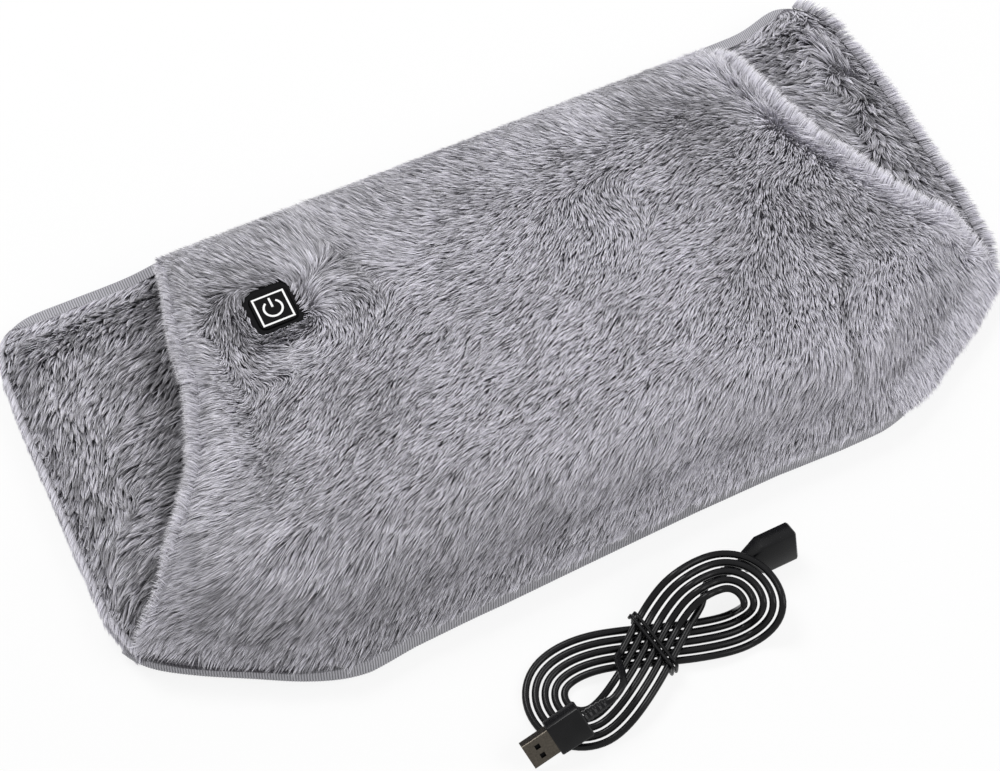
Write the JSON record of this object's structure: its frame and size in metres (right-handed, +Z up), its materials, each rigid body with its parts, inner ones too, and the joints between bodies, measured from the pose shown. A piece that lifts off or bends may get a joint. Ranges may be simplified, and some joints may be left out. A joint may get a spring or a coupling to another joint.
{
  "type": "heating pad",
  "caption": "Flat plush muff, open at both ends, warmed by a wire behind its front panel, with a push switch and a separate extension lead wound in a figure of eight.",
  "frame": {"origin": "middle of the muff's flat underside, leaving out the extension lead", "axes": "+X along the muff's length towards its right opening, +Y from the lower sewn edge to the upper one, +Z up out of the front panel"},
  "size_m": [0.42, 0.2841, 0.0515],
  "materials": {
    "grey_plush": "long soft pile in mid grey, brushed one way",
    "grey_lining": "long soft pile in a slightly darker grey",
    "wadding": "loose white polyester fill",
    "grey_tape": "ribbed overlocked tape",
    "carrier_felt": "thin off-white felt",
    "carbon_wire": "dull black sleeve over a heating strand",
    "lead_wire": "red insulated wire",
    "cutout_steel": "plain pressed can",
    "black_patch": "dull black facing",
    "black_abs": "fine satin moulding",
    "board_green": "lacquered board",
    "clear_diffuser": "milky translucent moulding",
    "black_rubber": "smooth moulded rubber",
    "black_pvc": "soft gloss black",
    "plated_steel": "bright nickel plate",
    "gold_contact": "gold-flashed spring contact"
  },
  "bodies": {
    "muff": {"back_outer_plush": "grey_plush", "back_wadding": "wadding", "back_inner_plush": "grey_lining", "front_inner_plush": "grey_lining", "heater_carrier": "carrier_felt", "heating_wire": "carbon_wire", "front_wadding": "wadding", "front_outer_plush": "grey_plush", "top_binding": "grey_tape", "bottom_binding": "grey_tape", "thermal_cutout": "cutout_steel", "cutout_lead": "lead_wire", "heater_lead_cold": "lead_wire", "heater_lead_live": "lead_wire", "supply_lead_cold": "lead_wire", "supply_lead_live": "lead_wire", "supply_grommet": "black_rubber", "switch_surround": "black_patch", "switch_housing": "black_abs", "switch_board": "board_green", "tact_switch_body": "black_abs", "status_led_red": "clear_diffuser", "status_led_blue": "clear_diffuser", "light_diffuser": "clear_diffuser"},
    "power_key": {"power_key": "black_abs", "tact_plunger": "clear_diffuser"},
    "extension_lead": {"cord_hank": "black_pvc", "cord_tail_plug": "black_pvc", "cord_tail_socket": "black_pvc", "cord_tie": "black_pvc", "plug_strain_relief": "black_pvc", "plug_overmould": "black_pvc", "plug_shell": "plated_steel", "plug_tongue": "black_abs", "socket_strain_relief": "black_pvc", "socket_overmould": "black_pvc", "socket_shell": "plated_steel", "socket_tongue": "black_abs", "plug_contact_1": "gold_contact", "plug_contact_2": "gold_contact", "plug_contact_3": "gold_contact", "plug_contact_4": "gold_contact", "socket_contact_1": "gold_contact", "socket_contact_2": "gold_contact", "socket_contact_3": "gold_contact", "socket_contact_4": "gold_contact"}
  },
  "joints": [
    {"name": "power_key_press", "type": "slide", "parent": "muff", "child": "power_key", "axis": [0, 0, -1], "range_m": [0, 0.0004], "stiffness_N_per_m": 1500, "springref_m": -0.0005},
    {"name": "lead_lift", "type": "slide", "parent": "muff", "child": "extension_lead", "axis": [0, 0, 1], "range_m": [0, 0.12]}
  ]
}
